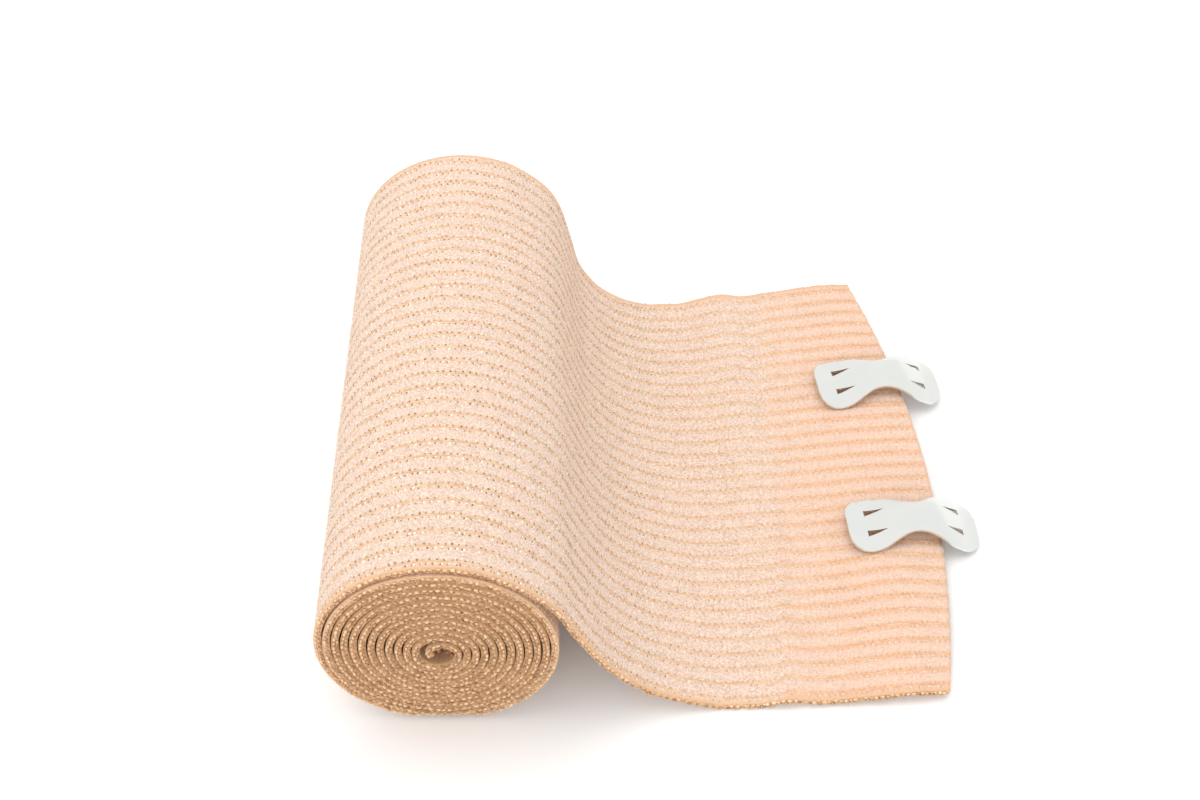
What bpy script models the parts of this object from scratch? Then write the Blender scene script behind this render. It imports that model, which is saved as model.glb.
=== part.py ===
"""Elastic rubber bandage, partly unrolled, with two stamped metal clips hooked on its free end.

One knitted strip is wound into a roll whose axis runs along Y. It leaves the roll near its top, falls
to the surface in a soft S and runs towards +X, where the clips hold its end. Metres, +Z up. The origin
is the middle of the bounding box, on the surface that the bandage lies on.
"""

from math import cos, exp, floor, pi, radians, sin

import bmesh
import bpy
from mathutils import Matrix, Vector

# The knitted strip
STRIP_WIDTH = 0.100
STRIP_WALL = 0.00105

# The roll
CORE_RADIUS = 0.0025
TURN_PITCH = 0.00142
TURNS = 11.85
CORE_SAG = 0.0018
CORE_CURL_TURNS = 0.55
CORE_CURL_RADIUS = 0.0019
LEAVE_ANGLE = 62.0
BOTTOM_ANGLE = 270.0
OUTER_TURN_SETBACK = 0.0005
SETBACK_TURNS = 0.8
END_GROOVE = 0.0014

# The free tail
TAIL_REACH = 0.0874
END_LIFT = 0.0040
END_SKEW = 0.0022
NEAR_EDGE_DRAW = 0.0010
FAR_EDGE_DRAW = 0.0005
WAVE_HEIGHT = 0.0013
WAVE_AT = 0.80
WAVE_ACROSS = 0.20
WAVE_LENGTH = 0.14
WAVE_BREADTH = 0.17

# The clips
CLIP_LENGTH = 0.0245
CLIP_LOBE_WIDTH = 0.0117
CLIP_WAIST_WIDTH = 0.0067
CLIP_LOBE_LENGTH = 0.0042
CLIP_CORNER_RADIUS = 0.0036
CLIP_SHEET = 0.00045
CLIP_ARCH_RISE = 0.0038
CLIP_EDGE_DROP = 0.0008
CLIP_WAIST_DROP = 0.0015
CLIP_SEAT_GAP = 0.0003
SEAT_MARGIN = 0.0010
TOOTH_LENGTH = 0.0017
TOOTH_WIDTH = 0.0013
TOOTH_INSET = 0.0034
TOOTH_SPREAD = 0.0046
HOLE_LENGTH = 0.0034
TOOTH_CLEARANCE = 0.0003

# A strip closer to the surface than this rests on it
RESTING = 0.00004

# How finely the shapes are cut
STEPS_PER_TURN = 32
STRIP_LANES = 4
TAIL_STEPS_PER_ROW = 3
CLIP_BENDS = 18
CLIP_CREASES = (-0.75, -0.4, 0.0, 0.4, 0.75)
CORNER_STEPS = 4
SEAT_LANES = 5
WAIST_STEPS = 10

# Each clip: where it sits across the strip, how far from the strip's end the middle of its inner
# lobe grips, and in degrees how far it is turned in plan, dips towards its outer end, and is tilted up
# on its far side
CLIPS = [
    {"name": "clip_near", "across": 0.360, "grip": 0.0150, "turn": 5.0, "dip": 6.4, "tilt": 1.0},
    {"name": "clip_far", "across": 0.718, "grip": 0.0139, "turn": 8.5, "dip": 5.4, "tilt": 3.0},
]

# The strip's outer face as it falls from the roll, in shares of the roll's radius from the roll's
# axis on the surface: along X and up, at the near edge and at the far edge.
FALL = [
    {"near_x": 0.755, "near_z": 1.640, "far_x": 0.752, "far_z": 1.620},
    {"near_x": 0.960, "near_z": 1.395, "far_x": 0.905, "far_z": 1.375},
    {"near_x": 1.095, "near_z": 1.105, "far_x": 1.008, "far_z": 0.990},
    {"near_x": 1.292, "near_z": 0.735, "far_x": 1.088, "far_z": 0.637},
    {"near_x": 1.450, "near_z": 0.520, "far_x": 1.195, "far_z": 0.432},
    {"near_x": 1.620, "near_z": 0.355, "far_x": 1.312, "far_z": 0.285},
    {"near_x": 1.825, "near_z": 0.222, "far_x": 1.520, "far_z": 0.140},
]

# The strip where it lies. The first columns are shares of the length from the last row of FALL to
# the tail's reach, along X, at the near edge, the middle and the far edge. The others are how far the
# strip stands off the surface there, in shares of END_LIFT.
LIE = [
    {"near": 0.190, "middle": 0.145, "far": 0.100, "near_lift": 0.00, "middle_lift": 0.00, "far_lift": 0.00},
    {"near": 0.300, "middle": 0.265, "far": 0.205, "near_lift": 0.00, "middle_lift": 0.00, "far_lift": 0.00},
    {"near": 0.420, "middle": 0.405, "far": 0.350, "near_lift": 0.26, "middle_lift": 0.24, "far_lift": 0.56},
    {"near": 0.530, "middle": 0.480, "far": 0.443, "near_lift": 0.08, "middle_lift": 0.09, "far_lift": 0.42},
    {"near": 0.690, "middle": 0.665, "far": 0.600, "near_lift": 0.17, "middle_lift": 0.32, "far_lift": 0.74},
    {"near": 0.840, "middle": 0.840, "far": 0.715, "near_lift": 0.26, "middle_lift": 0.48, "far_lift": 0.90},
    {"near": 0.955, "middle": 0.998, "far": 0.818, "near_lift": 0.18, "middle_lift": 0.44, "far_lift": 0.84},
]

# A clip's side view: share of its length, and height as a share of CLIP_ARCH_RISE
ARCH = [
    {"along": 0.000, "rise": 0.00},
    {"along": 0.120, "rise": 0.00},
    {"along": 0.180, "rise": 0.10},
    {"along": 0.250, "rise": 0.34},
    {"along": 0.330, "rise": 0.69},
    {"along": 0.415, "rise": 0.92},
    {"along": 0.510, "rise": 1.00},
    {"along": 0.600, "rise": 0.97},
    {"along": 0.670, "rise": 0.84},
    {"along": 0.755, "rise": 0.50},
    {"along": 0.820, "rise": 0.25},
    {"along": 0.880, "rise": 0.00},
    {"along": 1.000, "rise": -0.30},
]

ROLL_RADIUS = CORE_RADIUS + STRIP_WALL + TURN_PITCH * TURNS


def clear_scene():
    for leftover in list(bpy.data.objects):
        bpy.data.objects.remove(leftover)


def make_material(name, colour, roughness, metallic):
    material = bpy.data.materials.new(name)
    material.use_nodes = True
    shader = material.node_tree.nodes["Principled BSDF"]
    shader.inputs["Base Color"].default_value = (*colour, 1.0)
    shader.inputs["Roughness"].default_value = roughness
    shader.inputs["Metallic"].default_value = metallic
    return material


def catmull_rom(before, start, end, after, t):
    """A point on the smooth curve between start and end; works on numbers and on vectors."""
    return 0.5 * (
        2.0 * start
        + (end - before) * t
        + (2.0 * before - 5.0 * start + 4.0 * end - after) * t * t
        + (3.0 * start - before - 3.0 * end + after) * t * t * t
    )


def smooth_value(rows, share_column, value_column, share):
    """Reads a table as a smooth curve of value_column over share_column."""
    last = len(rows) - 1
    index = 0
    while index < last - 1 and rows[index + 1][share_column] < share:
        index += 1
    start, end = rows[index], rows[index + 1]
    before, after = rows[max(index - 1, 0)], rows[min(index + 2, last)]
    t = (share - start[share_column]) / (end[share_column] - start[share_column])
    return catmull_rom(before[value_column], start[value_column], end[value_column], after[value_column], t)


def turn_radius(turn):
    """Radius of the strip's outer face after that many turns. The inner end curls into the core."""
    start = CORE_RADIUS + STRIP_WALL
    if turn < 0.0:
        return start + (CORE_CURL_RADIUS - start) * -turn / CORE_CURL_TURNS
    return start + TURN_PITCH * turn


def core_drop(radius):
    """How much lower than the outermost turn's a turn's centre lies: the turns are tighter below."""
    return CORE_SAG * (1.0 - radius / ROLL_RADIUS)


def roll_axis_height():
    """The height at which the last turn touches the surface straight below the roll's axis."""
    lowest_radius = turn_radius(TURNS - (BOTTOM_ANGLE - LEAVE_ANGLE) / 360.0)
    return lowest_radius + core_drop(lowest_radius)


def roll_angles():
    """Winding angle of each section of the roll, from the strip's inner end.

    Every turn has its sections in the same directions, so that they face those of the turn inside it.
    One direction is straight down. The last section is just short of where the strip leaves the roll.
    """
    step = 2.0 * pi / STEPS_PER_TURN
    past_last = radians(LEAVE_ANGLE) / step
    angle = 2.0 * pi * TURNS - (floor(past_last) + 1 - past_last) * step
    angles = []
    while angle > -2.0 * pi * CORE_CURL_TURNS:
        angles.insert(0, angle)
        angle -= step
    return angles


def roll_section(wound):
    """Near edge, middle and far edge of the strip's outer face, where it is wound by that angle."""
    turn = wound / (2.0 * pi)
    radius = turn_radius(turn)
    direction = radians(LEAVE_ANGLE) + 2.0 * pi * TURNS - wound
    x = radius * cos(direction)
    z = roll_axis_height() - core_drop(radius) + radius * sin(direction)
    setback = OUTER_TURN_SETBACK * max(0.0, 1.0 - (TURNS - turn) / SETBACK_TURNS)
    near = Vector((x, setback, z))
    far = Vector((x, STRIP_WIDTH, z))
    return near, (near + far) / 2.0, far


def fall_section(row):
    """A section of the falling strip, whose edges draw in as it reaches the surface."""
    drawn = 1.0 - row["near_z"] / FALL[0]["near_z"]
    near_y = OUTER_TURN_SETBACK + NEAR_EDGE_DRAW * drawn
    far_y = STRIP_WIDTH - FAR_EDGE_DRAW * drawn
    near = Vector((row["near_x"] * ROLL_RADIUS, near_y, row["near_z"] * ROLL_RADIUS))
    far = Vector((row["far_x"] * ROLL_RADIUS, far_y, row["far_z"] * ROLL_RADIUS))
    return near, (near + far) / 2.0, far


def lie_section(row):
    """A section where the strip lies. It skews more and more towards the end."""
    start = FALL[-1]
    skew = END_SKEW * row["middle"] ** 1.5
    points = []
    for edge, across in (("near", 0.0), ("middle", 0.5), ("far", 1.0)):
        foot = ROLL_RADIUS * (start["near_x"] * (1.0 - across) + start["far_x"] * across)
        x = foot + row[edge] * (TAIL_REACH - foot)
        near_y = OUTER_TURN_SETBACK + NEAR_EDGE_DRAW + skew
        far_y = STRIP_WIDTH - FAR_EDGE_DRAW + skew
        y = near_y + (far_y - near_y) * across
        points.append(Vector((x, y, STRIP_WALL + END_LIFT * row[edge + "_lift"])))
    return tuple(points)


def strip_sections():
    """All sections of the strip's outer face, from the inner end to the end of the tail."""
    sections = [roll_section(angle) for angle in roll_angles()]
    sections.append(roll_section(2.0 * pi * TURNS))
    keys = [sections[-2], sections[-1]]
    keys += [fall_section(row) for row in FALL]
    keys += [lie_section(row) for row in LIE]
    last = len(keys) - 1
    for index in range(1, last):
        before, start, end = keys[index - 1], keys[index], keys[index + 1]
        after = keys[min(index + 2, last)]
        for step in range(1, TAIL_STEPS_PER_ROW + 1):
            t = step / TAIL_STEPS_PER_ROW
            sections.append(
                tuple(catmull_rom(before[k], start[k], end[k], after[k], t) for k in range(3))
            )
    return sections


def across_strip(section, share):
    """A point of a section, on the parabola through its near edge, middle and far edge.

    One soft wave stands in the tail beside the near clip.
    """
    near, middle, far = section
    point = (
        near * (2.0 * (share - 0.5) * (share - 1.0))
        + middle * (4.0 * share * (1.0 - share))
        + far * (2.0 * share * (share - 0.5))
    )
    foot = ROLL_RADIUS * FALL[-1]["near_x"]
    along = ((point.x - foot) / (TAIL_REACH - foot) - WAVE_AT) / WAVE_LENGTH
    across = (share - WAVE_ACROSS) / WAVE_BREADTH
    point.z += WAVE_HEIGHT * exp(-along * along - across * across)
    return point if point.z > STRIP_WALL + RESTING else Vector((point.x, point.y, STRIP_WALL))


def grid_normals(grid):
    """The outward normal at each point of a grid of the strip's outer face."""
    rows, columns = len(grid), len(grid[0])
    normals = []
    for i in range(rows):
        line = []
        for j in range(columns):
            along = grid[min(i + 1, rows - 1)][j] - grid[max(i - 1, 0)][j]
            across = grid[i][min(j + 1, columns - 1)] - grid[i][max(j - 1, 0)]
            rests = grid[i][j].z <= STRIP_WALL and grid[i][j].x > ROLL_RADIUS
            line.append(Vector((0.0, 0.0, 1.0)) if rests else along.cross(across).normalized())
        normals.append(line)
    return normals


def mesh_object(name, mesh_data, material):
    mesh = bpy.data.meshes.new(name)
    mesh_data.to_mesh(mesh)
    mesh_data.free()
    thing = bpy.data.objects.new(name, mesh)
    bpy.context.collection.objects.link(thing)
    mesh.materials.append(material)
    mesh.shade_smooth()
    mesh.set_sharp_from_angle(angle=radians(35.0))
    return thing


def make_strip(sections, material):
    """The whole bandage strip, as one closed wall.

    The wound turns bear on one another, as a firm roll's do. Only their edges stand apart, on both
    sides of a spiral groove in each end of the roll.
    """
    groove = END_GROOVE / STRIP_WIDTH
    shares = [0.0, groove, *(lane / STRIP_LANES for lane in range(1, STRIP_LANES)), 1.0 - groove, 1.0]
    edges = (0, len(shares) - 1)
    outer = [[across_strip(section, share) for share in shares] for section in sections]
    normals = grid_normals(outer)
    bm = bmesh.new()
    top = [[bm.verts.new(point) for point in line] for line in outer]
    under = [
        [bm.verts.new(point - normal * STRIP_WALL) for point, normal in zip(line, line_normals)]
        for line, line_normals in zip(outer, normals)
    ]
    leaves = len(roll_angles()) - 1
    for i in range(len(outer) - 1):
        covered = i + STEPS_PER_TURN < leaves
        borne = STEPS_PER_TURN <= i < leaves
        inside = i - STEPS_PER_TURN
        for j in range(edges[1]):
            at_edge = j in (0, edges[1] - 1)
            if at_edge or not covered:
                bm.faces.new((top[i][j], top[i + 1][j], top[i + 1][j + 1], top[i][j + 1]))
            if at_edge or not borne:
                bm.faces.new((under[i][j], under[i][j + 1], under[i + 1][j + 1], under[i + 1][j]))
        for j in edges:
            bm.faces.new((top[i][j], under[i][j], under[i + 1][j], top[i + 1][j]))
        for j in (1, edges[1] - 1):
            if borne:
                bm.faces.new((under[i][j], under[i + 1][j], top[inside + 1][j], top[inside][j]))
    for i in (0, len(outer) - 1):
        for j in range(edges[1]):
            bm.faces.new((top[i][j], top[i][j + 1], under[i][j + 1], under[i][j]))
    for i in (STEPS_PER_TURN, leaves):
        inside = i - STEPS_PER_TURN
        for j in range(1, edges[1] - 1):
            bm.faces.new((under[i][j], under[i][j + 1], top[inside][j + 1], top[inside][j]))
    bmesh.ops.delete(bm, geom=[vert for vert in bm.verts if not vert.link_faces], context="VERTS")
    bmesh.ops.recalc_face_normals(bm, faces=bm.faces)
    bmesh.ops.triangulate(bm, faces=bm.faces)
    return mesh_object("bandage", bm, material)


def waist_half_width(along):
    """Half the clip's width between its lobes, at a distance from its middle."""
    share = min(abs(along) / (CLIP_LENGTH / 2.0 - CLIP_LOBE_LENGTH), 1.0)
    waist, lobe = CLIP_WAIST_WIDTH / 2.0, CLIP_LOBE_WIDTH / 2.0
    return waist + (lobe - waist) * 0.5 * (1.0 - cos(pi * share))


def clip_outline():
    """A quarter of the butterfly blank, from the waist to the middle of one end, as (along, half width)."""
    shoulder = CLIP_LENGTH / 2.0 - CLIP_LOBE_LENGTH
    points = []
    for step in range(WAIST_STEPS + 1):
        along = shoulder * step / WAIST_STEPS
        points.append((along, waist_half_width(along)))
    centre_along = CLIP_LENGTH / 2.0 - CLIP_CORNER_RADIUS
    centre_across = CLIP_LOBE_WIDTH / 2.0 - CLIP_CORNER_RADIUS
    for step in range(CORNER_STEPS + 1):
        angle = 0.5 * pi * (1.0 - step / CORNER_STEPS)
        points.append(
            (centre_along + CLIP_CORNER_RADIUS * cos(angle), centre_across + CLIP_CORNER_RADIUS * sin(angle))
        )
    return points


def clip_blank():
    """The flat blank, centred on the origin, with its top face at z = 0."""
    quarter = clip_outline()
    right_top = quarter
    right_bottom = [(along, -across) for along, across in reversed(quarter)]
    left_bottom = [(-along, -across) for along, across in quarter[1:]]
    left_top = [(-along, across) for along, across in reversed(quarter[1:])]
    ring = right_top + right_bottom + left_bottom + left_top
    bm = bmesh.new()
    top = bm.faces.new([bm.verts.new((along, across, 0.0)) for along, across in ring])
    below = bmesh.ops.extrude_face_region(bm, geom=[top])
    moved = [item for item in below["geom"] if isinstance(item, bmesh.types.BMVert)]
    bmesh.ops.translate(bm, vec=(0.0, 0.0, -CLIP_SHEET), verts=moved)
    bmesh.ops.recalc_face_normals(bm, faces=bm.faces)
    return bm


def prism(outline, low, high):
    """A closed prism on a plan outline, as a mesh being built."""
    bm = bmesh.new()
    base = bm.faces.new([bm.verts.new((x, y, low)) for x, y in outline])
    raised = bmesh.ops.extrude_face_region(bm, geom=[base])
    moved = [item for item in raised["geom"] if isinstance(item, bmesh.types.BMVert)]
    bmesh.ops.translate(bm, vec=(0.0, 0.0, high - low), verts=moved)
    bmesh.ops.recalc_face_normals(bm, faces=bm.faces)
    return bm


def tooth_places():
    """Where the four teeth are rooted on the flat blank: along, across, and which end."""
    for end in (-1.0, 1.0):
        for side in (-1.0, 1.0):
            yield end * (CLIP_LENGTH / 2.0 - TOOTH_INSET), side * TOOTH_SPREAD / 2.0, end


def cut(thing, cutter_mesh, operation):
    """Cuts or joins a mesh being built into thing, and applies it."""
    mesh = bpy.data.meshes.new("cutter")
    cutter_mesh.to_mesh(mesh)
    cutter_mesh.free()
    cutter = bpy.data.objects.new("cutter", mesh)
    cutter.hide_render = True
    cutter.display_type = "WIRE"
    bpy.context.collection.objects.link(cutter)
    modifier = thing.modifiers.new(operation.lower(), "BOOLEAN")
    modifier.operation = operation
    modifier.solver = "EXACT"
    modifier.object = cutter
    bpy.context.view_layer.update()
    result = bpy.data.meshes.new_from_object(thing.evaluated_get(bpy.context.evaluated_depsgraph_get()))
    thing.modifiers.clear()
    thing.data = result
    bpy.data.objects.remove(cutter)


def tooth_mesh(along, across, end, grow):
    """One bent tooth hanging from the outer side of its hole, grown on all sides for a slot's cutter."""
    half = TOOTH_WIDTH / 2.0 + grow
    outer = along + end * (CLIP_SHEET * 0.5 + grow)
    inner = along - end * (CLIP_SHEET * 0.5 + grow)
    top = -CLIP_SHEET * 0.5
    tip = -CLIP_SHEET - TOOTH_LENGTH - grow
    tip_half = TOOTH_WIDTH * 0.12 + grow
    bm = bmesh.new()
    rings = []
    for height, reach in ((top, half), (tip, tip_half)):
        rings.append([
            bm.verts.new((outer, across - reach, height)),
            bm.verts.new((outer, across + reach, height)),
            bm.verts.new((inner, across + reach, height)),
            bm.verts.new((inner, across - reach, height)),
        ])
    bm.faces.new(rings[0])
    bm.faces.new(reversed(rings[1]))
    for k in range(4):
        following = (k + 1) % 4
        bm.faces.new((rings[0][k], rings[1][k], rings[1][following], rings[0][following]))
    bmesh.ops.recalc_face_normals(bm, faces=bm.faces)
    return bm


def bend_clip(point):
    """Takes a point of the flat clip to the arched one. The long edges turn down, most at the waist."""
    share = point.x / CLIP_LENGTH + 0.5
    inside = min(max(share, 0.0), 1.0)
    height = CLIP_ARCH_RISE * smooth_value(ARCH, "along", "rise", inside)
    step = 0.01
    ahead = CLIP_ARCH_RISE * smooth_value(ARCH, "along", "rise", min(inside + step, 1.0))
    behind = CLIP_ARCH_RISE * smooth_value(ARCH, "along", "rise", max(inside - step, 0.0))
    run = (min(inside + step, 1.0) - max(inside - step, 0.0)) * CLIP_LENGTH
    tangent = Vector((run, 0.0, ahead - behind)).normalized()
    up = Vector((-tangent.z, 0.0, tangent.x))
    waistness = max(0.0, 1.0 - (point.x / (CLIP_LENGTH / 2.0 - CLIP_LOBE_LENGTH)) ** 2)
    drop = CLIP_EDGE_DROP + (CLIP_WAIST_DROP - CLIP_EDGE_DROP) * waistness
    drop *= min(abs(point.y) / waist_half_width(point.x), 1.0) ** 3
    centre = Vector((point.x, point.y, height - drop))
    return centre + up * point.z


def make_clip(name, seat, material):
    """A stamped clip: the blank is pierced, its teeth are turned down, and it is arched."""
    clip = mesh_object(name, clip_blank(), material)
    for along, across, end in tooth_places():
        inner = along - end * HOLE_LENGTH
        half = TOOTH_WIDTH / 2.0
        outline = [(along, across - half), (along, across + half), (inner, across)]
        cut(clip, prism(outline, -2.0 * CLIP_SHEET, CLIP_SHEET), "DIFFERENCE")
    for along, across, end in tooth_places():
        rooted = along + end * CLIP_SHEET * 0.5
        cut(clip, tooth_mesh(rooted, across, end, 0.0), "UNION")
    bm = bmesh.new()
    bm.from_mesh(clip.data)
    for step in range(1, CLIP_BENDS):
        along = CLIP_LENGTH * (step / CLIP_BENDS - 0.5)
        geometry = bm.verts[:] + bm.edges[:] + bm.faces[:]
        bmesh.ops.bisect_plane(bm, geom=geometry, plane_co=(along, 0.0, 0.0), plane_no=(1.0, 0.0, 0.0))
    for share in CLIP_CREASES:
        across = share * CLIP_LOBE_WIDTH / 2.0
        geometry = bm.verts[:] + bm.edges[:] + bm.faces[:]
        bmesh.ops.bisect_plane(bm, geom=geometry, plane_co=(0.0, across, 0.0), plane_no=(0.0, 1.0, 0.0))
    for vert in bm.verts:
        vert.co = seat @ bend_clip(vert.co)
    bmesh.ops.triangulate(bm, faces=bm.faces)
    bm.to_mesh(clip.data)
    bm.free()
    clip.data.shade_smooth()
    clip.data.set_sharp_from_angle(angle=radians(35.0))
    return clip


def clip_seat(sections, clip):
    """The placement of a clip, whose inner lobe grips the strip just clear of its highest places."""
    share = clip["across"]
    wanted = across_strip(sections[-1], share).x - clip["grip"]
    index = len(sections) - 1
    while across_strip(sections[index], share).x > wanted:
        index -= 1
    here = across_strip(sections[index], share)
    there = across_strip(sections[index + 1], share)
    place = here.lerp(there, (wanted - here.x) / (there.x - here.x))
    lean = (
        Matrix.Rotation(radians(clip["turn"]), 4, "Z")
        @ Matrix.Rotation(radians(clip["dip"]), 4, "Y")
        @ Matrix.Rotation(radians(clip["tilt"]), 4, "X")
    )
    lobe_middle = (CLIP_LENGTH - CLIP_LOBE_LENGTH) / 2.0
    seat = Matrix.Translation(place) @ lean @ Matrix.Translation((lobe_middle, 0.0, 0.0))
    to_clip = seat.inverted()
    beside = 0.5 * CLIP_LOBE_WIDTH / STRIP_WIDTH
    rise = -CLIP_ARCH_RISE
    for lane in range(-2 * SEAT_LANES, 2 * SEAT_LANES + 1):
        beside_share = share + beside * lane / SEAT_LANES
        line = [across_strip(section, beside_share) for section in sections[index - 4:]]
        for start, end in zip(line, line[1:]):
            for step in range(SEAT_LANES):
                spot = to_clip @ start.lerp(end, step / SEAT_LANES)
                edge = waist_half_width(spot.x) + SEAT_MARGIN
                if abs(spot.x) < CLIP_LENGTH / 2.0 + SEAT_MARGIN and abs(spot.y) < edge:
                    rise = max(rise, spot.z - bend_clip(Vector((spot.x, spot.y, -CLIP_SHEET))).z)
    return Matrix.Translation((0.0, 0.0, rise + CLIP_SEAT_GAP)) @ seat


def cut_tooth_slots(strip, seat):
    """The teeth of a clip's inner lobe pass between the strip's stitches."""
    for along, across, end in tooth_places():
        if end < 0.0:
            rooted = along + end * CLIP_SHEET * 0.5
            cutter = tooth_mesh(rooted, across, end, TOOTH_CLEARANCE)
            for vert in cutter.verts:
                vert.co = seat @ bend_clip(vert.co)
            bmesh.ops.recalc_face_normals(cutter, faces=cutter.faces)
            cut(strip, cutter, "DIFFERENCE")


def move_origin_to_bottom_centre(things):
    corners = [vert.co for thing in things for vert in thing.data.vertices]
    low = Vector(min(corner[axis] for corner in corners) for axis in range(3))
    high = Vector(max(corner[axis] for corner in corners) for axis in range(3))
    shift = Vector((-(low.x + high.x) / 2.0, -(low.y + high.y) / 2.0, -low.z))
    for thing in things:
        thing.data.transform(Matrix.Translation(shift))


def main():
    clear_scene()
    knit = make_material("knit", (0.80, 0.58, 0.43), 0.9, 0.0)
    metal = make_material("metal", (0.78, 0.79, 0.79), 0.32, 1.0)
    sections = strip_sections()
    strip = make_strip(sections, knit)
    clips = []
    for row in CLIPS:
        seat = clip_seat(sections, row)
        clips.append(make_clip(row["name"], seat, metal))
        cut_tooth_slots(strip, seat)
    move_origin_to_bottom_centre([strip, *clips])


main()
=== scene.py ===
"""Looks of the elastic rubber bandage: its knit, stitch rows, looped selvedges, fuzz and metal clips.

The strip's shape repeats the names and tables of the part's source. Metres, +Z up, in the part's frame.
"""

from math import radians

import bmesh
import bpy
import numpy as np
from mathutils import Matrix, Vector


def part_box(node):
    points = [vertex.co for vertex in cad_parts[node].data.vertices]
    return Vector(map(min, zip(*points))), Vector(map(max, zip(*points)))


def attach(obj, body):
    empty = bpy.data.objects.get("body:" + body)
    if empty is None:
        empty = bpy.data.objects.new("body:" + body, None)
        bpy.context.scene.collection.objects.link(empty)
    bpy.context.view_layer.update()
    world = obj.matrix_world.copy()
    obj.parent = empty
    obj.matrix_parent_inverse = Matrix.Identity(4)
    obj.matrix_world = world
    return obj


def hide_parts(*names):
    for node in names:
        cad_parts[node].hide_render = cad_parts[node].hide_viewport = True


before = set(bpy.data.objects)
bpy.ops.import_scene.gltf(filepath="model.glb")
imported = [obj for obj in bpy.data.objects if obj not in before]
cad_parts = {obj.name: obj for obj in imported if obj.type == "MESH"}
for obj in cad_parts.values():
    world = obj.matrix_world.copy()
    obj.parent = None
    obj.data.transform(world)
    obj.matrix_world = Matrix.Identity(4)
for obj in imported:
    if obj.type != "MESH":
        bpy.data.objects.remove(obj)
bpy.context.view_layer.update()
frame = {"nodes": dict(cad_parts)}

chance = np.random.default_rng(7)

# The knitted strip, as in the part's source
STRIP_WIDTH = 0.100
STRIP_WALL = 0.00105
CORE_RADIUS = 0.0025
TURN_PITCH = 0.00142
TURNS = 11.85
CORE_SAG = 0.0018
CORE_CURL_TURNS = 0.55
CORE_CURL_RADIUS = 0.0019
LEAVE_ANGLE = 62.0
BOTTOM_ANGLE = 270.0
OUTER_TURN_SETBACK = 0.0005
SETBACK_TURNS = 0.8
TAIL_REACH = 0.0874
END_LIFT = 0.0040
END_SKEW = 0.0022
NEAR_EDGE_DRAW = 0.0010
FAR_EDGE_DRAW = 0.0005
WAVE_HEIGHT = 0.0013
WAVE_AT = 0.80
WAVE_ACROSS = 0.20
WAVE_LENGTH = 0.14
WAVE_BREADTH = 0.17
ROLL_RADIUS = CORE_RADIUS + STRIP_WALL + TURN_PITCH * TURNS

# The strip's outer face as it falls: near_x, near_z, far_x, far_z in shares of the roll's radius
FALL = np.array([
    (0.755, 1.640, 0.752, 1.620),
    (0.960, 1.395, 0.905, 1.375),
    (1.095, 1.105, 1.008, 0.990),
    (1.292, 0.735, 1.088, 0.637),
    (1.450, 0.520, 1.195, 0.432),
    (1.620, 0.355, 1.312, 0.285),
    (1.825, 0.222, 1.520, 0.140),
])

# The strip where it lies: near, middle and far share of the lying length, then their lifts
LIE = np.array([
    (0.190, 0.145, 0.100, 0.00, 0.00, 0.00),
    (0.300, 0.265, 0.205, 0.00, 0.00, 0.00),
    (0.420, 0.405, 0.350, 0.26, 0.24, 0.56),
    (0.530, 0.480, 0.443, 0.08, 0.09, 0.42),
    (0.690, 0.665, 0.600, 0.17, 0.32, 0.74),
    (0.840, 0.840, 0.715, 0.26, 0.48, 0.90),
    (0.955, 0.998, 0.818, 0.18, 0.44, 0.84),
])

# The knit: stitch rows run along the strip, and ribs of stitches run across it
ROW_COUNT = 32
ROW_PITCH = 0.003134
FIRST_ROW = 0.001407
STITCH = 0.00110
ROW_SINK = 0.00012
BAND_CROWN = 0.00013
RIB_RELIEF = 0.00004
KINK = 0.00045
WAVER = 0.00005
FOLD_RIDGE = 0.00022
CREASE_AT = 0.0208
CREASE_SLANT = 0.025
SHOWN_TURNS = 1.25
LANES_PER_ROW = 4


def roll_stations():
    """Near, middle and far point of the outer face every 3 degrees of winding, from the inner end."""
    turns = np.append(np.arange(-CORE_CURL_TURNS, TURNS, 1.0 / 120.0), TURNS)
    start = CORE_RADIUS + STRIP_WALL
    curl = start + (CORE_CURL_RADIUS - start) * -turns / CORE_CURL_TURNS
    radius = np.where(turns < 0.0, curl, start + TURN_PITCH * turns)
    lowest = start + TURN_PITCH * (TURNS - (BOTTOM_ANGLE - LEAVE_ANGLE) / 360.0)
    height = lowest + CORE_SAG * (1.0 - lowest / ROLL_RADIUS)
    direction = np.radians(LEAVE_ANGLE) + 2.0 * np.pi * (TURNS - turns)
    x = radius * np.cos(direction)
    z = height - CORE_SAG * (1.0 - radius / ROLL_RADIUS) + radius * np.sin(direction)
    setback = OUTER_TURN_SETBACK * np.clip(1.0 - (TURNS - turns) / SETBACK_TURNS, 0.0, 1.0)
    near = np.stack([x, setback, z], 1)
    far = np.stack([x, np.full_like(x, STRIP_WIDTH), z], 1)
    return np.stack([near, (near + far) / 2.0, far], 1)


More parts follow.
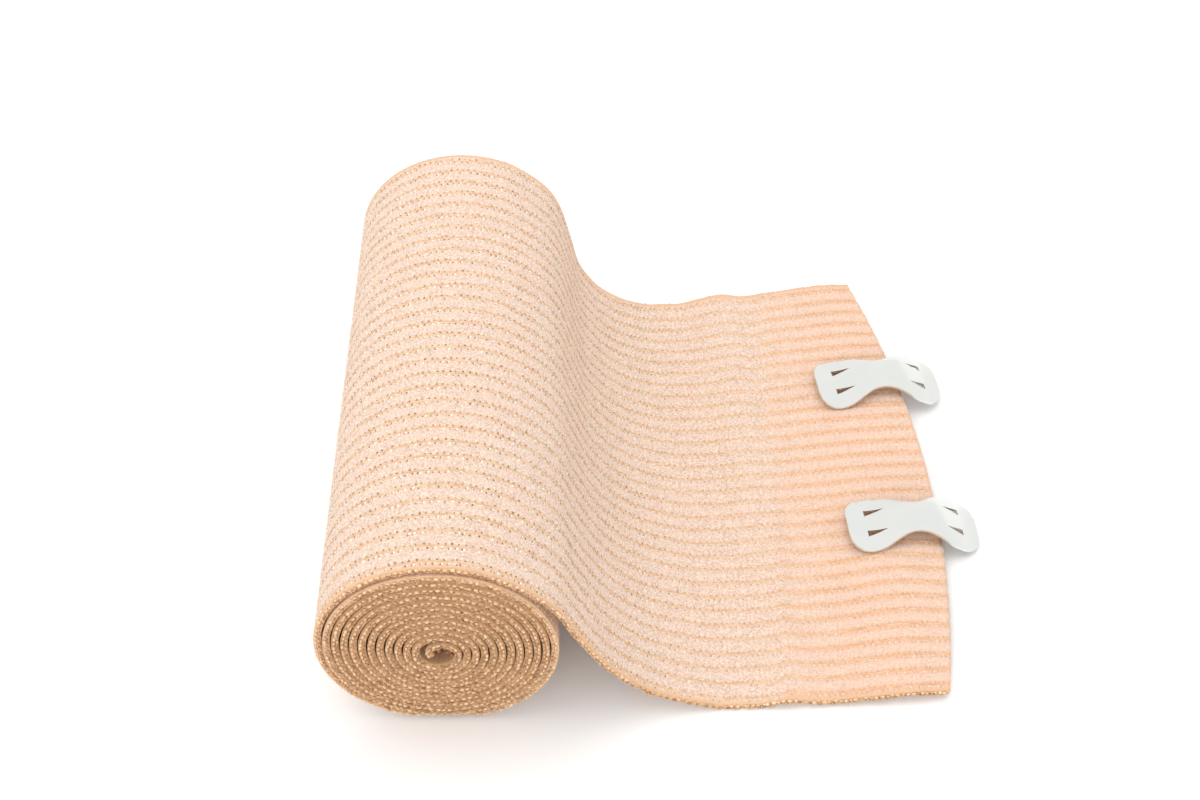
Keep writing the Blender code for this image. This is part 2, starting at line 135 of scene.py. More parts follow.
def tail_keys():
    """Near, middle and far point at each row of the two tables."""
    keys = []
    for near_x, near_z, far_x, far_z in FALL:
        drawn = 1.0 - near_z / FALL[0][1]
        near = np.array((near_x * ROLL_RADIUS, OUTER_TURN_SETBACK + NEAR_EDGE_DRAW * drawn, near_z * ROLL_RADIUS))
        far = np.array((far_x * ROLL_RADIUS, STRIP_WIDTH - FAR_EDGE_DRAW * drawn, far_z * ROLL_RADIUS))
        keys.append((near, (near + far) / 2.0, far))
    for row in LIE:
        skew = END_SKEW * row[1] ** 1.5
        points = []
        for edge, across in enumerate((0.0, 0.5, 1.0)):
            foot = ROLL_RADIUS * (FALL[-1][0] * (1.0 - across) + FALL[-1][2] * across)
            low = OUTER_TURN_SETBACK + NEAR_EDGE_DRAW + skew
            high = STRIP_WIDTH - FAR_EDGE_DRAW + skew
            x = foot + row[edge] * (TAIL_REACH - foot)
            points.append(np.array((x, low + (high - low) * across, STRIP_WALL + END_LIFT * row[3 + edge])))
        keys.append(tuple(points))
    return np.array(keys)


def catmull_rom(before, start, end, after, t):
    return 0.5 * (
        2.0 * start
        + (end - before) * t
        + (2.0 * before - 5.0 * start + 4.0 * end - after) * t * t
        + (3.0 * start - before - 3.0 * end + after) * t * t * t
    )


def all_stations():
    """The whole strip's stations, close together, and the length along its middle at each."""
    roll = roll_stations()
    keys = np.concatenate([roll[[-6, -1]], tail_keys()])
    tail = []
    for index in range(1, len(keys) - 1):
        after = keys[min(index + 2, len(keys) - 1)]
        for step in range(1, 17):
            tail.append(catmull_rom(keys[index - 1], keys[index], keys[index + 1], after, step / 16.0))
    stations = np.concatenate([roll, np.array(tail)])
    gaps = np.linalg.norm(np.diff(stations[:, 1], axis=0), axis=1)
    return stations, np.append(0.0, np.cumsum(gaps)), len(roll)


STATIONS, LENGTHS, ROLL_STATIONS = all_stations()
STRIP_LENGTH = float(LENGTHS[-1])
LEAVES_AT = float(LENGTHS[ROLL_STATIONS - 1])
SHOWN_FROM = LEAVES_AT - SHOWN_TURNS * 2.0 * np.pi * ROLL_RADIUS

# The part's origin is the middle of its box, so the strip is moved by what brings it onto its solid
LOW_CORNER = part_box("bandage")[0]
PLACE = np.array((LOW_CORNER[0] - STATIONS[..., 0].min(), LOW_CORNER[1], 0.0))


def face_points(along, across):
    """Points of the outer face, for lengths along the strip and shares across it."""
    along, across = np.broadcast_arrays(np.asarray(along, float), np.asarray(across, float))
    place = np.interp(along, LENGTHS, np.arange(len(LENGTHS)))
    index = np.minimum(place.astype(int), len(LENGTHS) - 2)
    t = (place - index)[..., None, None]
    section = STATIONS[index] * (1.0 - t) + STATIONS[index + 1] * t
    v = across[..., None]
    point = (
        section[..., 0, :] * (2.0 * (v - 0.5) * (v - 1.0))
        + section[..., 1, :] * (4.0 * v * (1.0 - v))
        + section[..., 2, :] * (2.0 * v * (v - 0.5))
    )
    foot = ROLL_RADIUS * FALL[-1][0]
    ahead = ((point[..., 0] - foot) / (TAIL_REACH - foot) - WAVE_AT) / WAVE_LENGTH
    beside = (across - WAVE_ACROSS) / WAVE_BREADTH
    lift = WAVE_HEIGHT * np.exp(-ahead * ahead - beside * beside)
    point[..., 2] = np.maximum(point[..., 2] + lift, STRIP_WALL)
    return point + PLACE


def face_normals(along, across):
    """Outward normals of the smooth outer face."""
    reach = 0.0004
    ahead = face_points(np.minimum(along + reach, STRIP_LENGTH), across)
    behind = face_points(np.maximum(along - reach, 0.0), across)
    left = face_points(along, np.minimum(across + 0.01, 1.0))
    right = face_points(along, np.maximum(across - 0.01, 0.0))
    normal = np.cross(ahead - behind, left - right)
    return normal / np.linalg.norm(normal, axis=-1, keepdims=True)


def crease_ahead(along, across):
    """Length along the strip past the old fold in its tail."""
    shares = np.linspace(0.0, 1.0, 9)
    lengths = np.linspace(LEAVES_AT + 0.030, STRIP_LENGTH, 160)
    grid = face_points(lengths[:, None], shares[None, :])
    past = grid[..., 0] - CREASE_SLANT * grid[..., 1]
    reached = [np.interp(CREASE_AT, past[:, lane], lengths) for lane in range(len(shares))]
    return along - np.interp(across, shares, reached)


def kink(along, across):
    """How far the rows are pushed sideways where they cross the fold."""
    ahead = crease_ahead(along, across)
    return KINK * np.tanh(ahead / 0.0009) * np.exp(-np.abs(ahead) / 0.0065)


def waver(along, across):
    """Sideways wander of the rows, the same for neighbours."""
    return WAVER * (np.sin(along * 310.0 + across * 9.0) + 0.6 * np.sin(along * 730.0 - across * 23.0))


def row_shift(along, across):
    return kink(along, across) + waver(along, across)


def row_phase(across):
    """How far a share across the strip is from its nearest stitch row, from 0 on it to 1 between rows."""
    turn = (np.asarray(across) * STRIP_WIDTH - FIRST_ROW) / ROW_PITCH
    return 2.0 * np.abs(turn - np.round(turn))


def relief(along, across):
    """Height of the knit over the smooth face: bands stand up between the stitch rows."""
    phase = np.clip(row_phase(across - row_shift(along, across) / STRIP_WIDTH), 0.0, 1.0)
    band = np.sin(0.5 * np.pi * phase)
    rib = RIB_RELIEF * np.cos(2.0 * np.pi * along / STITCH) * band
    ahead = crease_ahead(along, across)
    fold = FOLD_RIDGE * np.exp(-(ahead / 0.0011) ** 2) - 0.6 * FOLD_RIDGE * np.exp(-((ahead - 0.0022) / 0.0014) ** 2)
    return band * (ROW_SINK + BAND_CROWN) - ROW_SINK + rib + fold


def on_knit(along, across, above):
    """Points that far above the knit's own surface."""
    height = (relief(along, across) + above)[..., None]
    return face_points(along, across) + face_normals(along, across) * height


def finished(name, vertices, faces, material, body="root"):
    """A mesh piece at the origin, smooth-shaded, riding on a body."""
    mesh = bpy.data.meshes.new(name)
    mesh.from_pydata([tuple(vertex) for vertex in vertices], [], faces)
    mesh.validate()
    piece = bpy.data.objects.new(name, mesh)
    bpy.context.collection.objects.link(piece)
    mesh.materials.append(material)
    mesh.shade_smooth()
    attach(piece, body)
    return piece


def closed_shell(along, lanes, under_lanes, first):
    """One stretch of the strip as a closed wall. Returns its vertices, faces and strip map."""
    top_along, top_across = np.meshgrid(along, lanes, indexing="ij")
    low_along, low_across = np.meshgrid(along, under_lanes, indexing="ij")
    top = on_knit(top_along, top_across, 0.0)
    low = face_points(low_along, low_across) - face_normals(low_along, low_across) * STRIP_WALL
    rows, columns, under = len(along), len(lanes), len(under_lanes)
    high = first + np.arange(rows * columns).reshape(rows, columns)
    deep = first + rows * columns + np.arange(rows * under).reshape(rows, under)
    faces = []
    for i in range(rows - 1):
        for j in range(columns - 1):
            faces.append((high[i, j], high[i + 1, j], high[i + 1, j + 1], high[i, j + 1]))
        for j in range(under - 1):
            faces.append((deep[i, j], deep[i, j + 1], deep[i + 1, j + 1], deep[i + 1, j]))
        faces.append((high[i, 0], deep[i, 0], deep[i + 1, 0], high[i + 1, 0]))
        faces.append((high[i, -1], high[i + 1, -1], deep[i + 1, -1], deep[i, -1]))
    faces.append(tuple(high[0]) + tuple(deep[0][::-1]))
    faces.append(tuple(high[-1][::-1]) + tuple(deep[-1]))
    vertices = np.concatenate([top.reshape(-1, 3), low.reshape(-1, 3)])
    row_map = top_across * STRIP_WIDTH - row_shift(top_along, top_across)
    strip_map = np.concatenate([
        np.stack([top_along, row_map], -1).reshape(-1, 2),
        np.stack([low_along, low_across * STRIP_WIDTH], -1).reshape(-1, 2),
    ])
    return vertices, faces, strip_map


def map_along_strip(piece, strip_map):
    """A UV map in metres: along the strip and across it."""
    layer = piece.data.uv_layers.new(name="strip")
    corners = np.array([loop.vertex_index for loop in piece.data.loops])
    layer.data.foreach_set("uv", strip_map[corners].astype(np.float32).ravel())


def row_shares():
    return (FIRST_ROW + ROW_PITCH * np.arange(ROW_COUNT)) / STRIP_WIDTH


def make_cloth(material):
    """The whole strip: its wound turns plainly, and the turn and tail that show in full relief."""
    rows = row_shares()
    lanes = [0.0, 0.005]
    for start, end in zip(rows, rows[1:]):
        lanes += [start + (end - start) * step / LANES_PER_ROW for step in range(LANES_PER_ROW)]
    lanes = np.array(lanes + [rows[-1], 0.995, 1.0])
    under = np.linspace(0.0, 1.0, 21)
    wound = np.linspace(0.0, SHOWN_FROM, 640)
    edge_lanes = np.array([0.0, 0.005, 0.02, 0.25, 0.5, 0.75, 0.98, 0.995, 1.0])
    shown = np.arange(SHOWN_FROM, STRIP_LENGTH, STITCH / 2.0)
    shown = np.append(shown[:-1], STRIP_LENGTH)
    inner = closed_shell(wound, edge_lanes, edge_lanes, 0)
    outer = closed_shell(shown, lanes, under, len(inner[0]))
    vertices = np.concatenate([inner[0], outer[0]])
    cloth = finished("bandage_cloth", vertices, inner[1] + outer[1], material)
    map_along_strip(cloth, np.concatenate([inner[2], outer[2]]))
    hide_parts("bandage")
    return cloth


class Cells:
    """Gathers many small copies of one low shape into a single mesh."""

    def __init__(self):
        self.vertices = []
        self.faces = []
        self.count = 0

    def add(self, shapes, faces):
        """shapes is copies x vertices x 3, and faces index one copy's vertices."""
        copies, size = shapes.shape[0], shapes.shape[1]
        self.vertices.append(shapes.reshape(-1, 3))
        for copy in range(copies):
            base = self.count + copy * size
            self.faces += [tuple(base + corner for corner in face) for face in faces]
        self.count += copies * size

    def piece(self, name, material):
        return finished(name, np.concatenate(self.vertices), self.faces, material)


def local_axes(along, across):
    """Unit directions along the strip, across it and out of it."""
    out = face_normals(along, across)
    ahead = face_points(np.minimum(along + 0.0005, STRIP_LENGTH), across)
    forward = ahead - face_points(np.minimum(along + 0.0005, STRIP_LENGTH) - 0.0008, across)
    forward /= np.linalg.norm(forward, axis=-1, keepdims=True)
    return forward, np.cross(out, forward), out


def placed(along, across, above, shape):
    """Copies of a small shape, given along, across and out of the strip, at each place on the knit."""
    forward, side, out = local_axes(along, across)
    centre = on_knit(along, across, above)
    return (
        centre[:, None, :]
        + forward[:, None, :] * shape[..., 0:1]
        + side[:, None, :] * shape[..., 1:2]
        + out[:, None, :] * shape[..., 2:3]
    )


def stitch_places():
    """Every stitch of the shown rows: length along the strip, share across it."""
    along = np.arange(SHOWN_FROM + 0.030, STRIP_LENGTH - 0.0006, STITCH)
    grid_along, grid_across = np.meshgrid(along, row_shares(), indexing="ij")
    wander = chance.normal(0.0, 0.00010, grid_along.shape)
    sideways = chance.normal(0.0, 0.00005, grid_across.shape) + row_shift(grid_along, grid_across)
    return grid_along + wander, grid_across + sideways / STRIP_WIDTH


def sized(shape, count, low, high):
    return shape[None, :, :] * chance.uniform(low, high, (count, 1, 1))


def make_pits(material):
    """Painted shade: dark brown discs for the shaded gaps between loops, one line close above each row's thread and a
    wider one below it.
    """
    along, across = stitch_places()
    hexagon = [(np.cos(a), np.sin(a)) for a in np.radians(np.arange(0, 360, 60))]
    cells = Cells()
    for shift, offset, length, width, kept in (
        (0.0, 0.00034, 0.00019, 0.00024, 0.92),
        (0.5, -0.00066, 0.00018, 0.00022, 0.80),
    ):
        keep = chance.random(along.shape) < kept
        here = along[keep] + shift * STITCH
        beside = across[keep] + offset / STRIP_WIDTH
        inside = (here < STRIP_LENGTH - 0.0008) & (beside > 0.004) & (beside < 0.996)
        here, beside = here[inside], beside[inside]
        shape = np.array([(0.0, 0.0, 0.00004)] + [(x * length, y * width, 0.0) for x, y in hexagon])
        copies = sized(shape, len(here), 0.6, 1.15)
        fan = [(0, corner, corner % 6 + 1) for corner in range(1, 7)]
        cells.add(placed(here, beside, 0.00003, copies), fan)
    return cells.piece("stitch_pits", material)


def make_row_threads(material):
    """The tan thread that runs along every stitch row, dipping between its stitches."""
    cells = Cells()
    along = np.arange(SHOWN_FROM + 0.030, STRIP_LENGTH - 0.0003, STITCH / 2.0)
    count = len(along)
    ring = [(0.8, -0.3), (0.35, 0.8), (-0.35, 0.8), (-0.8, -0.3)]
    for share in row_shares():
        swing = np.where(np.arange(count) % 2 == 0, 1.0, -1.0)
        sideways = swing * 0.00005 + chance.normal(0.0, 0.00003, count) + row_shift(along, share)
        across = share + sideways / STRIP_WIDTH
        forward, side, out = local_axes(along, across)
        centre = on_knit(along, across, 0.00003 + 0.00003 * swing)
        thick = 0.00013 * chance.uniform(0.75, 1.2, count)[:, None]
        shape = np.stack([centre + side * thick * x + out * thick * y for x, y in ring], 1)
        faces = []
        for i in range(count - 1):
            for k in range(3):
                low = i * 4 + k
                faces.append((low, low + 1, low + 5, low + 4))
        cells.add(shape.reshape(1, -1, 3), faces)
    return cells.piece("row_threads", material)


def make_white_loops(material):
    """The pale loop tops beside the lower gaps: pale yarn lightened further with a painted highlight where they catch
    the light.
    """
    along, across = stitch_places()
    keep = chance.random(along.shape) < 0.60
    here = along[keep] + 0.72 * STITCH
    beside = across[keep] - 0.00052 / STRIP_WIDTH
    inside = (here < STRIP_LENGTH - 0.0008) & (beside > 0.004)
    here, beside = here[inside], beside[inside]
    shape = np.array([
        (0.00022, 0.0, 0.0), (0.00008, 0.00026, 0.0), (-0.00022, 0.0, 0.0), (-0.00008, -0.00026, 0.0),
        (0.00009, 0.00006, 0.00010), (-0.00009, -0.00006, 0.00010),
    ])
    faces = [(0, 1, 4), (1, 2, 5, 4), (2, 3, 5), (3, 0, 4, 5)]
    cells = Cells()
    cells.add(placed(here, beside, 0.00002, sized(shape, len(here), 0.6, 1.3)), faces)
    return cells.piece("loop_tops", material)


def bead_shape():
    """A low rounded bead of unit radius, modelled once."""
    bpy.ops.object.select_all(action="DESELECT")
    bpy.ops.mesh.primitive_ico_sphere_add(subdivisions=1, radius=1.0)
    ball = bpy.context.object
    shape = np.array([tuple(vertex.co) for vertex in ball.data.vertices])
    faces = [tuple(face.vertices) for face in ball.data.polygons]
    bpy.data.objects.remove(ball)
    return shape, faces


def make_selvedge(name, edge, level, shift, reach, material):
    """One line of knit loops along an edge of the whole strip. Wound up, they make the roll's end face."""
    shape, faces = bead_shape()
    outwards = -1.0 if edge == 0.0 else 1.0
    along = np.arange(0.0006, STRIP_LENGTH - 0.0006, STITCH) + shift * STITCH
    along = along + chance.normal(0.0, 0.00009, len(along))
    along = np.clip(along, 0.0004, STRIP_LENGTH - 0.0004)
    across = np.full_like(along, edge)
    forward, side, out = local_axes(along, across)
    jitter = chance.normal(0.0, 0.00006, (len(along), 2))
    centre = (
        face_points(along, across)
        + side * (outwards * (reach + jitter[:, 0:1]))
        + out * (level + jitter[:, 1:2])
    )
    centre[:, 2] = np.maximum(centre[:, 2], 0.00036)
    sizes = np.array((0.00046, 0.00030, 0.00024)) * chance.uniform(0.75, 1.25, (len(along), 1))
    grown = shape[None, :, :] * sizes[:, None, :]
    cells = Cells()
    cells.add(
        centre[:, None, :]
        + forward[:, None, :] * grown[..., 0:1]
        + side[:, None, :] * grown[..., 1:2]
        + out[:, None, :] * grown[..., 2:3],
        faces,
    )
    return cells.piece(name, material)


def make_core_knots(material):
    """The crumpled inner end of the strip, bunched in the hole of the core at both end faces. Their very dark brown
    is partly the yarn and partly painted shade of the deep core hole.
    """
    shape, faces = bead_shape()
    count = 90
    angle = chance.uniform(0.0, 2.0 * np.pi, count)
    radius = (CORE_RADIUS - 0.0004) * np.sqrt(chance.random(count))
    middle = face_points(np.linspace(0.0, 2.0 * np.pi * CORE_RADIUS, 40), 0.0).mean(axis=0)
    centre = np.stack([
        middle[0] + radius * np.cos(angle), np.full(count, LOW_CORNER[1]), middle[2] + radius * np.sin(angle)
    ], 1)
    depth = chance.uniform(0.0006, 0.0026, count)
    far = chance.random(count) < 0.5
    centre[:, 1] += np.where(far, STRIP_WIDTH - depth, depth)
    sizes = chance.uniform(0.00025, 0.00050, (count, 1, 3))
    cells = Cells()
    cells.add(centre[:, None, :] + shape[None, :, :] * sizes, faces)
    return cells.piece("core_knots", material)


def fibres(starts, headings, lengths, thickness, material, name):
    """Short bent hairs, each a thin three-sided spike."""
    count = len(starts)
    bend = chance.normal(0.0, 0.5, (count, 3))
    middle = starts + headings * lengths[:, None] * 0.55
    tip = middle + (headings + bend) * lengths[:, None] * 0.45
    across = np.cross(headings, bend)
    across /= np.linalg.norm(across, axis=1, keepdims=True) + 1e-9
    up = np.cross(headings, across)
    rings = []
    for k in range(3):
        angle = 2.0 * np.pi * k / 3.0
        rings.append(across * np.cos(angle) + up * np.sin(angle))
    corners = [starts + ring * thickness for ring in rings]
    corners += [middle + ring * thickness * 0.8 for ring in rings]
    corners.append(tip)
    shapes = np.stack(corners, 1)
    shapes[..., 2] = np.maximum(shapes[..., 2], 0.00002)
    faces = [(0, 1, 4, 3), (1, 2, 5, 4), (2, 0, 3, 5), (3, 4, 6), (4, 5, 6), (5, 3, 6)]
    cells = Cells()
    cells.add(shapes, faces)
    return cells.piece(name, material)


def make_edge_fuzz(material):
    along = chance.uniform(0.001, STRIP_LENGTH - 0.001, 3600)
    edge = (chance.random(3600) < 0.35).astype(float)
    forward, side, out = local_axes(along, edge)
    outwards = np.where(edge == 0.0, -1.0, 1.0)[:, None]
    starts = face_points(along, edge) + side * outwards * 0.0003 - out * chance.uniform(0.0, 0.001, (3600, 1))
    headings = side * outwards + chance.normal(0.0, 0.55, (3600, 3))
    headings /= np.linalg.norm(headings, axis=1, keepdims=True)
    return fibres(starts, headings, chance.uniform(0.0003, 0.0011, 3600), 0.000022, material, "edge_fuzz")


def make_face_fuzz(material):
    count = 5200
    along = chance.uniform(SHOWN_FROM + 0.03, STRIP_LENGTH - 0.001, count)
    across = chance.uniform(0.004, 0.996, count)
    forward, side, out = local_axes(along, across)
    headings = out * 0.35 + forward * chance.normal(0.0, 0.8, (count, 1)) + side * chance.normal(0.0, 0.8, (count, 1))
    headings /= np.linalg.norm(headings, axis=1, keepdims=True)
    starts = on_knit(along, across, 0.0)
    return fibres(starts, headings, chance.uniform(0.0003, 0.0010, count), 0.000016, material, "face_fuzz")


class Channel:
    """A shader socket with arithmetic."""

    def __init__(self, book, socket):
        self.book = book
        self.socket = socket

    def maths(self, operation, other=None, swap=False, third=None):
        values = [self] if other is None else ([other, self] if swap else [self, other])
        if third is not None:
            values.append(third)
        return self.book.node("ShaderNodeMath", {"operation": operation}, dict(enumerate(values)))

    def __add__(self, other):
        return self.maths("ADD", other)

    def __sub__(self, other):
        return self.maths("SUBTRACT", other)

    def __rsub__(self, other):
        return self.maths("SUBTRACT", other, swap=True)

    def __mul__(self, other):
        return self.maths("MULTIPLY", other)

    def __truediv__(self, other):
        return self.maths("DIVIDE", other)

    def __pow__(self, other):
        return self.maths("POWER", other)

    __radd__ = __add__
    __rmul__ = __mul__


class Finish:
    """A material being made: one method adds any node, with settings first and then its inputs."""

    def __init__(self, name):
        self.material = bpy.data.materials.new(name)
        self.material.use_nodes = True
        self.tree = self.material.node_tree
        self.shader = self.tree.nodes["Principled BSDF"]

    def feed(self, socket, value):
        if isinstance(value, Channel):
            self.tree.links.new(value.socket, socket)
        elif isinstance(value, tuple) and len(value) == 3 and socket.type == "RGBA":
            socket.default_value = (*value, 1.0)
        else:
            socket.default_value = value

    def node(self, kind, settings=None, inputs=None, output=0):
        made = self.tree.nodes.new(kind)
        for key, value in (settings or {}).items():
            if key == "stops":
                for place, (position, colour) in enumerate(value):
                    if place >= 2:
                        made.color_ramp.elements.new(position)
                    made.color_ramp.elements[place].position = position
                    made.color_ramp.elements[place].color = (*colour, 1.0)
            else:
                setattr(made, key, value)
        for key, value in (inputs or {}).items():
            self.feed(made.inputs[key], value)
        return Channel(self, made.outputs[output])

    def mix(self, factor, low, high):
        return self.node(
            "ShaderNodeMix", {"data_type": "RGBA"}, {0: factor, 6: low, 7: high}, output=2
        )

    def smooth(self, value, low, high):
        """0 below low, 1 above high, smooth between."""
        return self.node(
            "ShaderNodeMapRange", {"interpolation_type": "SMOOTHSTEP"}, {0: value, 1: low, 2: high}
        )

    def place(self):
        """Object coordinates, as a vector and as three channels."""
        where = self.node("ShaderNodeTexCoord", output=3)
        split = [self.node("ShaderNodeSeparateXYZ", None, {0: where}, output=k) for k in range(3)]
        return where, split

    def noise(self, where, scale, detail=2.0, roughness=0.5):
        return self.node(
            "ShaderNodeTexNoise", None,
            {"Vector": where, "Scale": scale, "Detail": detail, "Roughness": roughness},
        )

    def bump(self, height, strength, distance):
        return self.node(
            "ShaderNodeBump", None, {"Height": height, "Strength": strength, "Distance": distance}
        )

    def surface(self, **sockets):
        for key, value in sockets.items():
            self.feed(self.shader.inputs[key.replace("_", " ")], value)
        return self.material


def cloth_finish():
    """Pale pink cotton bands between tan stitch rows, yellower at the selvedges, oranger past the crease, and dark
    brown on the wound turns: their tan edges plus painted shade in the grooves between turns.
    """
    finish = Finish("knit_cloth")
    strip = finish.node("ShaderNodeUVMap", {"uv_map": "strip"})
    along = finish.node("ShaderNodeSeparateXYZ", None, {0: strip}, output=0)
    across = finish.node("ShaderNodeSeparateXYZ", None, {0: strip}, output=1)
    where, (x, y, z) = finish.place()
    turn = (across - FIRST_ROW) / ROW_PITCH
    above_row = (turn - turn.maths("ROUND")) * ROW_PITCH
    from_row = above_row.maths("ABSOLUTE")
    line = 1.0 - finish.smooth(from_row, 0.00006, 0.00050)
    stripe = 1.0 - finish.smooth((above_row + 0.00020).maths("ABSOLUTE"), 0.00035, 0.00120)
    rib_turn = along / STITCH
    rib = (rib_turn - rib_turn.maths("ROUND")).maths("ABSOLUTE") * 2.0
    below = finish.smooth(above_row, -0.00130, -0.00030) * (1.0 - finish.smooth(above_row, 0.0, 0.0002))
    tick = finish.smooth(rib, 0.55, 0.95) * below
    fine = finish.noise(where, 2900.0, 3.0, 0.7)
    moved = finish.node("ShaderNodeVectorMath", {"operation": "ADD"}, {0: where, 1: (3.1, 1.7, 0.9)})
    other = finish.noise(moved, 1900.0)
    soft = finish.noise(where, 420.0, 2.0, 0.5)
    broad = finish.noise(where, 55.0, 2.0, 0.5)
    over = x - y * CREASE_SLANT
    past_crease = finish.smooth(over, CREASE_AT - 0.0004, CREASE_AT + 0.0008) * 0.25
    past_crease = past_crease + finish.smooth(over, CREASE_AT - 0.008, CREASE_AT + 0.016) * 0.65
    edge = finish.smooth((across - STRIP_WIDTH / 2.0).maths("ABSOLUTE"), 0.0489, 0.0499)
    # Painted shade: the wound turns show only in the roll's end faces and are mixed to dark brown, partly for their
    # tan edge yarn and partly for the shade in the grooves between turns.
    wound = 1.0 - finish.smooth(along, SHOWN_FROM - 0.020, SHOWN_FROM + 0.010)
    band = finish.mix(finish.smooth(fine, 0.36, 0.64), (0.530, 0.385, 0.305), (0.840, 0.695, 0.590))
    band = finish.mix(finish.smooth(other, 0.55, 0.75) * 0.60, band, (0.77, 0.46, 0.375))
    band = finish.mix(finish.smooth(soft, 0.35, 0.70) * 0.30, band, (0.76, 0.61, 0.51))
    # Painted shade: the bands darken a little in the low lines between the ribs, where the bump sinks.
    band = finish.mix(rib * 0.15, band, (0.66, 0.43, 0.31))
    band = finish.mix(past_crease * 0.45, band, (0.76, 0.490, 0.360))
    tan = finish.mix(past_crease, (0.72, 0.46, 0.26), (0.74, 0.41, 0.23))
    colour = finish.mix(line * 0.50, band, tan)
    colour = finish.mix(tick * 0.40, colour, tan)
    colour = finish.mix(stripe * past_crease * 0.50, colour, (0.76, 0.405, 0.235))
    colour = finish.mix(broad * 0.20, colour, (0.76, 0.54, 0.42))
    colour = finish.mix(edge, colour, (0.70, 0.450, 0.285))
    # Dark brown on the wound turns: tan edge yarn plus painted shade in the grooves.
    colour = finish.mix(wound * 0.85, colour, (0.50, 0.285, 0.150))
    height = soft * 0.5 + fine * 0.9 + (1.0 - rib) * 0.35
    return finish.surface(
        Base_Color=colour,
        Roughness=0.92,
        Specular_IOR_Level=0.18,
        Subsurface_Weight=0.35,
        Subsurface_Radius=(1.0, 0.42, 0.22),
        Subsurface_Scale=0.0012,
        Normal=finish.bump(height, 0.55, 0.00022),
    )


def yarn_finish(name, dark, light, scale, fade=0.0):
    """Spun yarn in two shades, mottled. It may fade into the bands towards the strip's free end."""
    finish = Finish(name)
    where, (x, y, z) = finish.place()
    fine = finish.noise(where, scale, 3.0, 0.6)
    colour = finish.mix(finish.smooth(fine, 0.34, 0.66), dark, light)
    if fade:
        colour = finish.mix(finish.smooth(x, -0.020, 0.020) * fade, colour, (0.74, 0.50, 0.36))
    return finish.surface(
        Base_Color=colour,
        Roughness=0.9,
        Specular_IOR_Level=0.2,
        Normal=finish.bump(fine, 0.4, 0.0001),
    )


def metal_finish():
    """Satin stamped aluminium with faint rubbing marks."""
    finish = Finish("clip_metal")
    where, parts = finish.place()
    cloudy = finish.noise(where, 260.0, 3.0, 0.55)
    marks = finish.noise(
        finish.node("ShaderNodeMapping", None, {"Vector": where, "Scale": (300.0, 2600.0, 900.0)}), 1.0, 2.0
    )
    colour = finish.mix(cloudy, (0.780, 0.795, 0.770), (0.860, 0.870, 0.840))
    rough = 0.26 + cloudy * 0.14
    return finish.surface(
        Base_Color=colour,
        Metallic=1.0,
        Roughness=rough,
        Normal=finish.bump(marks, 0.05, 0.0001),
    )


def make_clip(node, material):
    """The CAD clip with its cut edges rounded over, as stamping and tumbling leave them."""
    source = frame["nodes"][node] if not isinstance(frame["nodes"], (list, tuple)) else bpy.data.objects[node]
    mesh = source.data.copy()
    bm = bmesh.new()
    bm.from_mesh(mesh)
    bmesh.ops.remove_doubles(bm, verts=bm.verts, dist=1e-6)
    bmesh.ops.dissolve_limit(bm, angle_limit=radians(0.6), verts=bm.verts, edges=bm.edges)
    bm.to_mesh(mesh)
    bm.free()
    clip = bpy.data.objects.new(node + "_shell", mesh)
    bpy.context.collection.objects.link(clip)
    mesh.materials.clear()
    mesh.materials.append(material)
    bpy.ops.object.select_all(action="DESELECT")
    bpy.context.view_layer.objects.active = clip
    clip.select_set(True)
    rounding = clip.modifiers.new("rounding", "BEVEL")
    rounding.width = 0.00013
    rounding.segments = 2
    rounding.limit_method = "ANGLE"
    rounding.angle_limit = radians(40.0)
    bpy.ops.object.modifier_apply(modifier="rounding")
    bpy.ops.object.shade_smooth_by_angle(angle=radians(50.0))
    evening = clip.modifiers.new("evening", "WEIGHTED_NORMAL")
    evening.keep_sharp = True
    bpy.ops.object.modifier_apply(modifier="evening")
    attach(clip, "root")
    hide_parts(node)
    return clip


def area_light(name, place, size, power, colour, aim=(0.0, 0.0, 0.015)):
    lamp = bpy.data.lights.new(name, "AREA")
    lamp.shape = "RECTANGLE"
    lamp.size, lamp.size_y = size
    lamp.energy = power
    lamp.color = colour
    thing = bpy.data.objects.new(name, lamp)
    bpy.context.collection.objects.link(thing)
    thing.visible_glossy = False
    thing.location = place
    thing.rotation_euler = (Vector(aim) - Vector(place)).to_track_quat("-Z", "Y").to_euler()


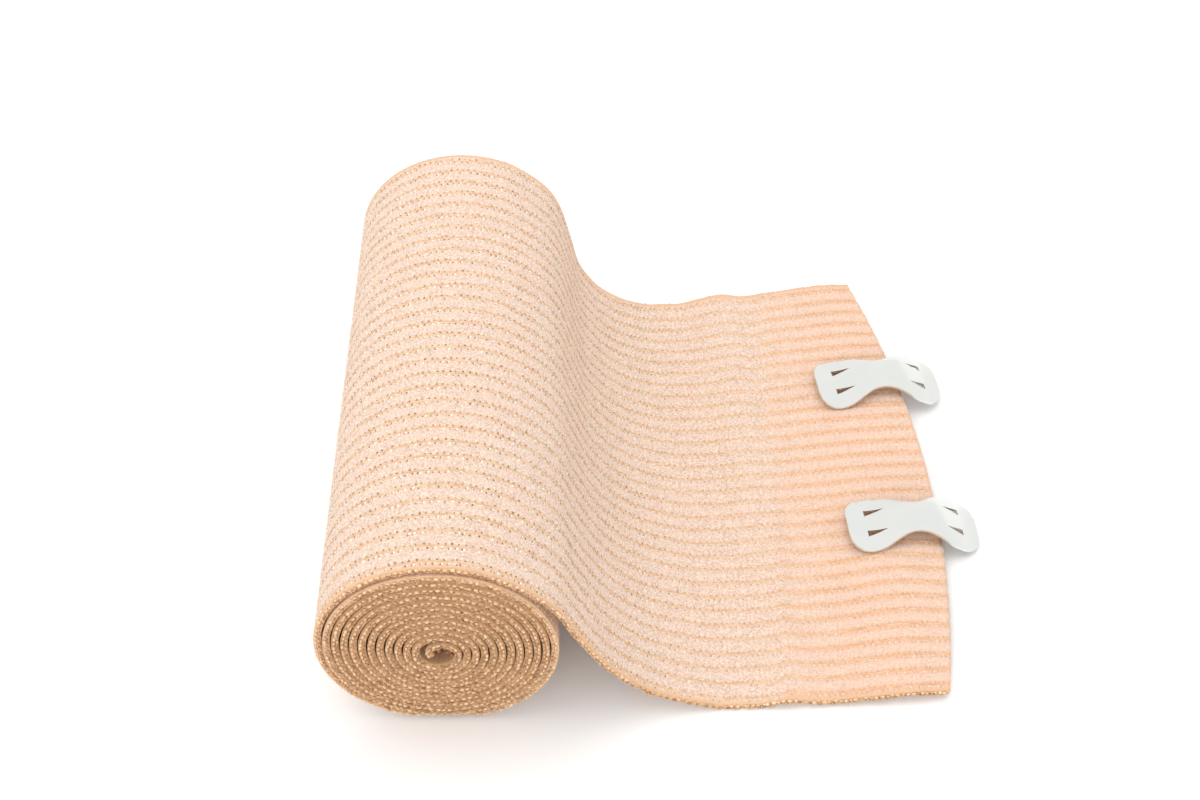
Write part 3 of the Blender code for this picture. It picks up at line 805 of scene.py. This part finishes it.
def make_stage():
    """A pale table top, soft light from above and behind, and the photograph's camera."""
    bpy.ops.object.select_all(action="DESELECT")
    bpy.ops.mesh.primitive_plane_add(size=6.0, location=(0.0, 0.0, 0.0))
    floor = bpy.context.object
    floor.name = "table_top"
    finish = Finish("table_white")
    floor.data.materials.append(finish.surface(Base_Color=(0.90, 0.90, 0.90), Roughness=0.7))
    world = bpy.data.worlds.new("studio")
    bpy.context.scene.world = world
    world.use_nodes = True
    sky = world.node_tree.nodes["Background"]
    sky.inputs["Color"].default_value = (1.0, 1.0, 1.0, 1.0)
    sky.inputs["Strength"].default_value = 1.0
    area_light("soft_top", (-0.10, 0.15, 0.80), (0.9, 0.7), 3.0, (1.0, 0.99, 0.97))
    area_light("soft_front", (-0.15, -0.75, 0.35), (0.8, 0.5), 2.0, (1.0, 0.99, 0.97))
    camera = bpy.data.objects.new("camera", bpy.data.cameras.new("camera"))
    bpy.context.collection.objects.link(camera)
    camera.data.lens = 55.90
    camera.data.sensor_width = 36.0
    camera.data.clip_start = 0.01
    camera.location = (-0.01297, -0.22857, 0.26373)
    pitch, yaw = radians(46.357), radians(0.400)
    camera.rotation_euler = (radians(90.0) - pitch, 0.0, -yaw)
    bpy.context.scene.camera = camera
    bpy.context.scene.view_settings.view_transform = "Standard"


make_stage()
cloth = make_cloth(cloth_finish())
# The gaps' dark brown is painted shade.
pits = make_pits(yarn_finish("gap_shade", (0.27, 0.135, 0.070), (0.50, 0.31, 0.19), 900.0, 0.60))
threads = make_row_threads(yarn_finish("row_tan", (0.68, 0.40, 0.20), (0.84, 0.60, 0.39), 700.0))
# Pale yarn with a painted highlight on the loop tops.
tops = make_white_loops(yarn_finish("loop_pale_highlight", (0.80, 0.69, 0.60), (0.93, 0.87, 0.82), 900.0, 0.65))
pale_loops = yarn_finish("selvedge_pale", (0.58, 0.345, 0.180), (0.90, 0.640, 0.410), 1500.0)
tan_loops = yarn_finish("selvedge_tan", (0.34, 0.180, 0.085), (0.66, 0.420, 0.235), 1500.0)
edges = [
    make_selvedge("near_edge_top", 0.0, -0.00027, 0.0, 0.00012, pale_loops),
    make_selvedge("near_edge_low", 0.0, -0.00077, 0.5, 0.00004, tan_loops),
    make_selvedge("far_edge_top", 1.0, -0.00027, 0.0, 0.00012, pale_loops),
    make_selvedge("far_edge_low", 1.0, -0.00077, 0.5, 0.00004, tan_loops),
    # The knots' dark brown is partly yarn, partly painted shade of the core hole.
    make_core_knots(yarn_finish("core_brown_and_shade", (0.16, 0.065, 0.030), (0.52, 0.260, 0.140), 1200.0)),
]
edge_fuzz = make_edge_fuzz(yarn_finish("fuzz_tan", (0.70, 0.50, 0.33), (0.88, 0.72, 0.56), 900.0))
face_fuzz = make_face_fuzz(yarn_finish("fuzz_pale", (0.85, 0.70, 0.60), (0.95, 0.86, 0.78), 900.0))
metal = metal_finish()
for node in ("clip_near", "clip_far"):
    make_clip(node, metal)
